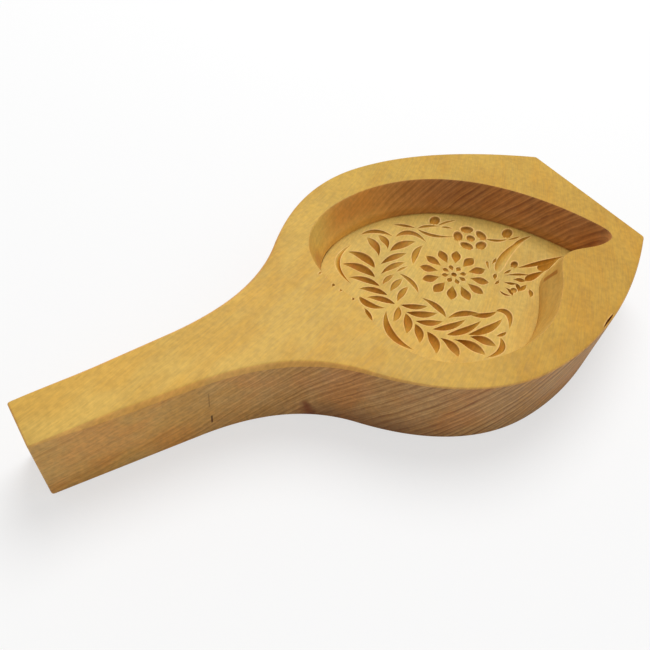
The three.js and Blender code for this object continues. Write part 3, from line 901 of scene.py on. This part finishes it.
class Wood(Nodes):
    """The fields that all faces of the plank share."""

    def __init__(self, name):
        self.material = bpy.data.materials.new(name)
        self.material.use_nodes = True
        super().__init__(self.material.node_tree)
        self.shader = self.tree.nodes["Principled BSDF"]
        corner = self.add("TexCoord").node
        self.place = self.tint(corner.outputs["Object"], (PER_METRE, PER_METRE, PER_METRE))
        self.x, self.y, self.z = self.split(self.place)
        facing = self.split(corner.outputs["Normal"])
        self.facing_far, self.tilt = facing[1], self.math("ABSOLUTE", facing[2])
        self.level = self.ring_level()
        self.late = self.late_wood()
        # Pores and fibre run askew to the board, and more so toward the sawn end.
        run = self.line(self.y, FIBRE_SLOPE, self.x)
        late_bend = self.math("POWER", self.math("MAXIMUM", self.minus(self.x, FIBRE_BENDS_FROM), 0), 2)
        across = self.line(self.x, -FIBRE_SLOPE, self.y)
        askew = (run, self.line(late_bend, -FIBRE_BEND, across), self.z)
        self.fibre = self.drawn(askew, FIBRE_SIZE, 3)
        self.fleck = self.ramp(self.drawn(askew, FLECK_SIZE), 0.6, 0.76)
        self.warmth = self.drawn(askew, WARMTH_SIZE)
        self.blotch = self.noise(self.place, BLOTCH_SCALE, 3)
        self.mottle = self.noise(self.place, MOTTLE_SCALE, 3)

    def ring_level(self):
        """How far out in the tree a point lies, in millimetres."""
        reach = RING_BEND[1] - RING_BEND[0]
        share = self.over(self.minus(self.x, RING_BEND[0]), reach)
        inner = self.math("MINIMUM", self.math("MAXIMUM", share, 0), 1)
        cube = self.math("POWER", inner, 3)
        bend = self.minus(cube, self.times(self.times(cube, inner), 0.5))
        bend = self.plus(bend, self.math("MAXIMUM", self.minus(share, 1), 0))
        rise = self.line(self.x, RING_RISE_GRIP, self.times(bend, RING_RISE_MORE * reach))
        level = self.minus(self.line(self.y, RING_TILT_Y, self.z), rise)
        wave = self.minus(self.noise(self.place, RING_WAVE_SCALE, 1), 0.5)
        return self.line(wave, RING_WAVE, level)

    def late_wood(self):
        """The dark part of the rings. The widest family shows in the bowl and hardly in the grip."""
        with_rings = (self.line(self.y, 0.5, self.x), self.level, self.line(self.z, -0.8, self.y))
        fine = self.times(self.minus(self.drawn(with_rings, FINE_STREAKS), 0.5), 0.5)
        phase = self.plus(self.over(self.level, RING_PITCH), fine)
        wide, second, third = (self.lines(self.line(phase, *family)) for family in RING_FAMILIES)
        strength = self.ramp(self.drawn(with_rings, BROAD_STREAKS), 0.35, 0.65)
        wide = self.times(wide, self.line(strength, 0.5, 0.5))
        wide = self.times(wide, self.line(self.along_board(*RINGS_WIDEN), 0.65, 0.35))
        second = self.times(second, self.line(strength, -0.6, 0.8))
        third = self.times(third, 0.5)
        return self.math("MAXIMUM", wide, self.math("MAXIMUM", second, third))

    def lines(self, phase):
        """Late wood: it darkens slowly across each ring and ends abruptly."""
        share = self.math("FRACT", phase)
        return self.times(self.ramp(share, 0.2, 0.8), self.ramp(share, 1, 0.8))

    def along_board(self, start, end):
        """Rises from 0 to 1 between two places along the board."""
        return self.ramp(self.x, start - ORIGIN_AT, end - ORIGIN_AT)

    def look(self, pale, dark, lines, flecks):
        """Pale wood with so much of the dark in its late wood and its flecks."""
        color = self.mix(self.times(self.late, lines), pale, dark)
        return self.mix(self.times(self.fleck, flecks), color, dark)

    def finish(self, color, contrast=1):
        """Sets the shader from the colour, with the fibre, patches and relief that all faces have."""
        level = self.ramp(self.fibre, 0.3, 0.7, 1 - 0.09 * contrast, 1 + 0.06 * contrast)
        for pattern, reach in ((self.blotch, 0.05), (self.mottle, 0.07)):
            level = self.plus(level, self.ramp(pattern, 0.3, 0.7, -reach, reach))
        color = self.add("VectorMath", {0: color, "Scale": level}, operation="SCALE")
        color = self.mix(self.ramp(self.warmth, 0.4, 0.65), color, self.tint(color, WARM_TINT))
        roughness = self.ramp(self.fibre, 0.3, 0.7, *ROUGHNESS)
        height = self.minus(self.times(self.fibre, 0.5), self.times(self.fleck, 0.4))
        bump = self.add("Bump", {"Height": height, "Strength": RELIEF, "Distance": RELIEF_HEIGHT})
        for name, value in (("Base Color", color), ("Roughness", roughness), ("Normal", bump)):
            self.tree.links.new(value, self.shader.inputs[name])
        self.shader.inputs["Specular IOR Level"].default_value = SHINE
        return self.material


def in_cuts(wood, color):
    """Brown cuts, browner where they are deep: partly the cut wood's own tone and partly painted shade in
    the recess. Darker down from the edge, painted shade of the steep bank, with a pale lip that is a
    painted highlight.
    """
    bottom, bank, lip = (wood.field(name) for name in FIELDS)
    grain = wood.times(wood.late, 0.35)
    shallow = wood.mix(grain, (194, 148, 50), (174, 124, 38))
    deep = wood.mix(grain, (184, 127, 27), (154, 98, 16))
    inner = wood.mix(wood.ramp(bottom, 0.5, 1.6), shallow, deep)
    # A dark band down from each cut's edge: painted shade of its steep bank.
    inner = wood.mix(wood.ramp(bank, 0.05, 0.5, 0.75, 0), inner, (132, 92, 18))
    inner = wood.mix(wood.ramp(wood.mottle, 0.5, 0.7, 0, 0.4), inner, (184, 108, 44))
    color = wood.mix(wood.ramp(bottom, 0, 0.45, 0, 0.97), color, inner)
    # The pale lip along each cut's edge is a painted highlight.
    return wood.mix(wood.times(lip, 0.55), color, (252, 206, 138))


# Upright marks, the last one on the cusp of the hollow's wall: place along the board, half width, lowest
# and highest point, strength and colour
SLIT = (62.1, 0.33, 7.2, 12.2, 0.95, (78, 42, 12))
SLIT_LINE = (61.5, 0.25, 19, 28, 0.4, (110, 66, 26))
CUSP_LINE = (223.4, 0.9, 22.5, 32.5, 0.9, (176, 116, 46))
MARK_BLUR = 0.6
NEAR_HALF = (-8, -10)

# The reddish knot mark leans and widens downward, and after it the near side is darker low down.
KNOT_AT = 97
KNOT_TOP = 12.5
KNOT_LEAN = 0.25
KNOT_HALF_WIDTH = 0.6
KNOT_COLOR = (124, 58, 26)
AFTER_KNOT = ((96, 106), (152, 125))
AFTER_KNOT_COLOR = (122, 72, 44)

EASED_EDGE_COLOR = (222, 170, 90)

# The middle of the split near the bowl's edge, which is darker than a cut
SPLIT_AT = (217.5 - ORIGIN_AT, -61.9, BOARD_THICKNESS)
SPLIT_REACH = 6
SPLIT_COLOR = (124, 68, 14)

# On the hollow's wall the wood is reddish round the cleft at the heel, and the foot is darkened with
# painted shade where the wall meets the floor.
CLEFT = (134 - ORIGIN_AT, 29, FLOOR_HEIGHT + 5)
CLEFT_COLOR = (170, 104, 52)
LEFT_WALL_COLOR = (194, 146, 64)
# The steeper low band gets a little painted shade.
LOW_BAND_PAINTED_SHADE = (146, 86, 38)
LOW_WALL_COLOR = (244, 194, 98)
FOOT_PAINTED_SHADE = (112, 62, 16)


def upright_mark(wood, color, at, half_width, low, high, strength, mark_color):
    """The colour with an upright line in the near half."""
    off = wood.math("ABSOLUTE", wood.minus(wood.x, at - ORIGIN_AT))
    mark = wood.ramp(off, half_width * 1.4, half_width * 0.6)
    mark = wood.times(mark, wood.ramp(wood.y, *NEAR_HALF))
    mark = wood.times(mark, wood.ramp(wood.z, low - MARK_BLUR, low + MARK_BLUR))
    mark = wood.times(mark, wood.ramp(wood.z, high + MARK_BLUR, high - MARK_BLUR))
    return wood.mix(wood.times(mark, strength), color, mark_color)


def near_side_marks(wood, color):
    """A slit with a faint line above, the knot mark and a darker patch low down after it."""
    for mark in (SLIT, SLIT_LINE):
        color = upright_mark(wood, color, *mark)
    below = wood.minus(KNOT_TOP, wood.z)
    off = wood.math("ABSOLUTE", wood.minus(wood.x, wood.line(below, KNOT_LEAN, KNOT_AT - ORIGIN_AT)))
    off = wood.over(off, wood.line(below, KNOT_LEAN, KNOT_HALF_WIDTH))
    flame = wood.times(wood.ramp(off, 1.7, 0), wood.ramp(below, 0, 4))
    flame = wood.times(flame, wood.ramp(wood.y, -20, -23))
    after = wood.times(wood.along_board(*AFTER_KNOT[0]), wood.along_board(*AFTER_KNOT[1]))
    low = wood.times(wood.ramp(wood.z, 16, 1), wood.ramp(wood.y, -22, -28))
    color = wood.mix(wood.times(wood.times(after, low), 0.5), color, AFTER_KNOT_COLOR)
    return wood.mix(wood.times(flame, 0.8), color, KNOT_COLOR)


def board_wood():
    """Golden on the level faces, browner and with clear rings on the upright ones."""
    wood = Wood("wood_board")
    # The top darkens from the handle toward the sawn end, a little more on its near half: painted shade
    # for the lamp's falloff.
    handle = wood.look((214, 174, 84), (192, 146, 64), 0.15, 0.35)
    near_end = wood.look((198, 153, 56), (176, 126, 42), 0.2, 0.35)
    far_end = wood.look((200, 160, 62), (178, 133, 47), 0.2, 0.35)
    end = wood.mix(wood.ramp(wood.y, -40, 60), near_end, far_end)
    top = wood.mix(wood.along_board(*TOP_PAINTED_SHADE_SPAN), handle, end)
    grip = wood.look((220, 174, 98), (170, 114, 54), 0.55, 0.3)
    bowl = wood.look((208, 163, 103), (132, 80, 38), 0.85, 0.25)
    side = wood.mix(wood.along_board(*GRIP_TO_BOWL), grip, bowl)
    side = wood.mix(wood.ramp(wood.blotch, 0.45, 0.65), side, wood.tint(side, RUDDY_TINT))
    side = near_side_marks(wood, side)
    # The eased edge shows as a narrow band of its own.
    edge = wood.mix(0.8, side, EASED_EDGE_COLOR)
    color = wood.mix(wood.ramp(wood.tilt, 0.2, 0.5), side, edge)
    color = wood.mix(wood.ramp(wood.tilt, 0.8, 0.97), color, top)
    apart = wood.distance(wood.place, SPLIT_AT)
    depth = wood.ramp(wood.field(FIELDS[0]), 0.05, 0.4)
    split = wood.times(wood.ramp(apart, SPLIT_REACH + 1, SPLIT_REACH), depth)
    return wood.finish(wood.mix(split, in_cuts(wood, color), SPLIT_COLOR))


def wall_wood():
    """Golden at the left end, brown toward the tip on the far side: partly the wood's own tone and partly
    painted light and shade for how the lamp falls on the wall. The near wall, turned toward the lamp, is
    golden and paler: painted light.
    """
    wood = Wood("wood_wall")
    gold = wood.look((226, 190, 95), (194, 152, 68), 0.35, 0.2)
    gold = wood.mix(wood.ramp(wood.x, 3, -9, 0, 0.6), gold, LEFT_WALL_COLOR)
    middle = wood.look((224, 161, 77), (194, 131, 55), 0.35, 0.1)
    brown = wood.look((200, 140, 80), (132, 79, 42), 0.8, 0.2)
    near = wood.look((220, 182, 98), (192, 146, 70), 0.4, 0.2)
    far = wood.line(wood.x, 0.55, wood.y)
    to_middle = wood.times(wood.ramp(wood.x, -2, 22), wood.ramp(far, 12, 26))
    to_brown = wood.times(wood.ramp(wood.x, 20, 85), wood.ramp(far, 12, 30))
    color = wood.mix(to_brown, wood.mix(to_middle, gold, middle), brown)
    # Faces of the near wall that turn toward +Y, toward the lamp, take the paler look: painted light.
    painted_light_share = wood.times(wood.ramp(wood.facing_far, 0.1, 0.4), wood.along_board(*NEAR_WALL_ENDS))
    color = upright_mark(wood, wood.mix(painted_light_share, color, near), *CUSP_LINE)
    # The steeper low band darkens a little toward the tip: painted shade.
    band = FLOOR_HEIGHT + BAND_HEIGHT
    low = wood.times(wood.ramp(wood.z, band + 0.3, band - 0.3), wood.ramp(wood.x, 5, 45, 0, 0.08))
    color = wood.mix(low, color, LOW_BAND_PAINTED_SHADE)
    # Toward the floor it grows paler on its way to the heel.
    paler = wood.times(wood.ramp(wood.z, 28, 19), wood.ramp(wood.x, 55, 25, 0.12, 0.85))
    color = wood.mix(paler, color, LOW_WALL_COLOR)
    color = wood.mix(wood.ramp(wood.distance(wood.place, CLEFT), 9, 2, 0, 0.55), color, CLEFT_COLOR)
    # Painted shade along the foot of the wall, strongest at the heel.
    foot = wood.ramp(wood.z, FLOOR_HEIGHT + 1.4, FLOOR_HEIGHT + 0.5)
    foot = wood.times(foot, wood.ramp(wood.x, 20, 2, 0.15, 0.95))
    return wood.finish(wood.mix(foot, color, FOOT_PAINTED_SHADE), contrast=0.5)


def floor_wood():
    """Golden, a little darker toward the tip."""
    wood = Wood("wood_floor")
    left = wood.look((209, 175, 87), (190, 146, 60), 0.15, 0.3)
    right = wood.look((202, 168, 83), (182, 140, 58), 0.15, 0.3)
    color = wood.mix(wood.along_board(*FLOOR_DARKENS), left, right)
    return wood.finish(in_cuts(wood, color))


board = board_wood()
materials = [board, board, wall_wood(), floor_wood()]

mould_mesh = mesh_from(build_mould(), "carved_mould_fine", materials)
clean(mould_mesh)
mould = add_object("mould_wood", mould_mesh)
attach(mould, "root")
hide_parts(NODE)


# Floor

FLOOR_REACH = 3
FLOOR_TONE = 0.9
FLOOR_ROUGHNESS = 0.9
FLOOR_WHITENING = 0.6


def pale_material():
    """The camera sees the floor nearer to white than the light does, still with the mould's shadow."""
    material = bpy.data.materials.new("pale_floor")
    material.use_nodes = True
    nodes = Nodes(material.node_tree)
    shader = nodes.tree.nodes["Principled BSDF"]
    shader.inputs["Base Color"].default_value = (FLOOR_TONE, FLOOR_TONE, FLOOR_TONE, 1)
    shader.inputs["Roughness"].default_value = FLOOR_ROUGHNESS
    glow = nodes.add("Emission", {"Color": (1, 1, 1, 1), "Strength": 1})
    seen = nodes.times(nodes.add("LightPath"), FLOOR_WHITENING)
    blend = nodes.add("MixShader", {0: seen, 1: shader.outputs[0], 2: glow})
    nodes.tree.links.new(blend, nodes.tree.nodes["Material Output"].inputs["Surface"])
    return material


floor_mesh = bpy.data.meshes.new("floor")
corners = [(x * FLOOR_REACH, y * FLOOR_REACH, 0) for x, y in ((-1, -1), (1, -1), (1, 1), (-1, 1))]
floor_mesh.from_pydata(corners, [], [(0, 1, 2, 3)])
floor_mesh.materials.append(pale_material())
floor = add_object("floor", floor_mesh)

# Light
KEY_PLACE = (0.62, 0.66, 1.6)
KEY_SIZE = 1.2
KEY_POWER = 25
WORLD_LIGHT = 0.43

key_data = bpy.data.lights.new("key", "AREA")
key_data.shape = "DISK"
key_data.size = KEY_SIZE
key_data.energy = KEY_POWER
key = add_object("key", key_data)
key.location = KEY_PLACE
key.rotation_mode = "QUATERNION"
key.rotation_quaternion = (-Vector(KEY_PLACE)).to_track_quat("-Z", "Y")

# The world lights the mould softly, and where the camera sees the world itself it is white.
world = bpy.data.worlds.new("studio")
world.use_nodes = True
background = world.node_tree.nodes["Background"]
background.inputs["Color"].default_value = (1, 1, 1, 1)
world_nodes = Nodes(world.node_tree)
strength = world_nodes.line(world_nodes.add("LightPath"), 1 - WORLD_LIGHT, WORLD_LIGHT)
world.node_tree.links.new(strength, background.inputs["Strength"])
bpy.context.scene.world = world

# Camera, solved from the photograph. The picture was cropped off centre, which the shift repeats.
PICTURE_SIZE = 650
FOCAL_PIXELS = 593.98
OPTICAL_CENTRE = (300, 240)
CAMERA_PLACE = (22.06 - ORIGIN_AT, -125.36, 219.98)
CAMERA_YAW = 33.231
CAMERA_PITCH = 43.884
CAMERA_ROLL = 5.091
SENSOR = 36
NEAREST_SEEN = 0.01

yaw, pitch, roll = map(radians, (CAMERA_YAW, CAMERA_PITCH, CAMERA_ROLL))
forward = Vector((sin(yaw) * cos(pitch), cos(yaw) * cos(pitch), -sin(pitch)))
level = Vector((cos(yaw), -sin(yaw), 0))
upward = level.cross(forward)
right = level * cos(roll) + upward * sin(roll)
up = upward * cos(roll) - level * sin(roll)
camera_data = bpy.data.cameras.new("camera")
camera_data.sensor_width = SENSOR
camera_data.lens = FOCAL_PIXELS / PICTURE_SIZE * SENSOR
camera_data.shift_x = (PICTURE_SIZE / 2 - OPTICAL_CENTRE[0]) / PICTURE_SIZE
camera_data.shift_y = (OPTICAL_CENTRE[1] - PICTURE_SIZE / 2) / PICTURE_SIZE
camera_data.clip_start = NEAREST_SEEN
camera = add_object("camera", camera_data)
turn = Matrix((right, up, -forward)).transposed().to_4x4()
camera.matrix_world = Matrix.Translation(Vector(CAMERA_PLACE) / PER_METRE) @ turn
bpy.context.scene.camera = camera
bpy.context.scene.view_settings.view_transform = "Standard"
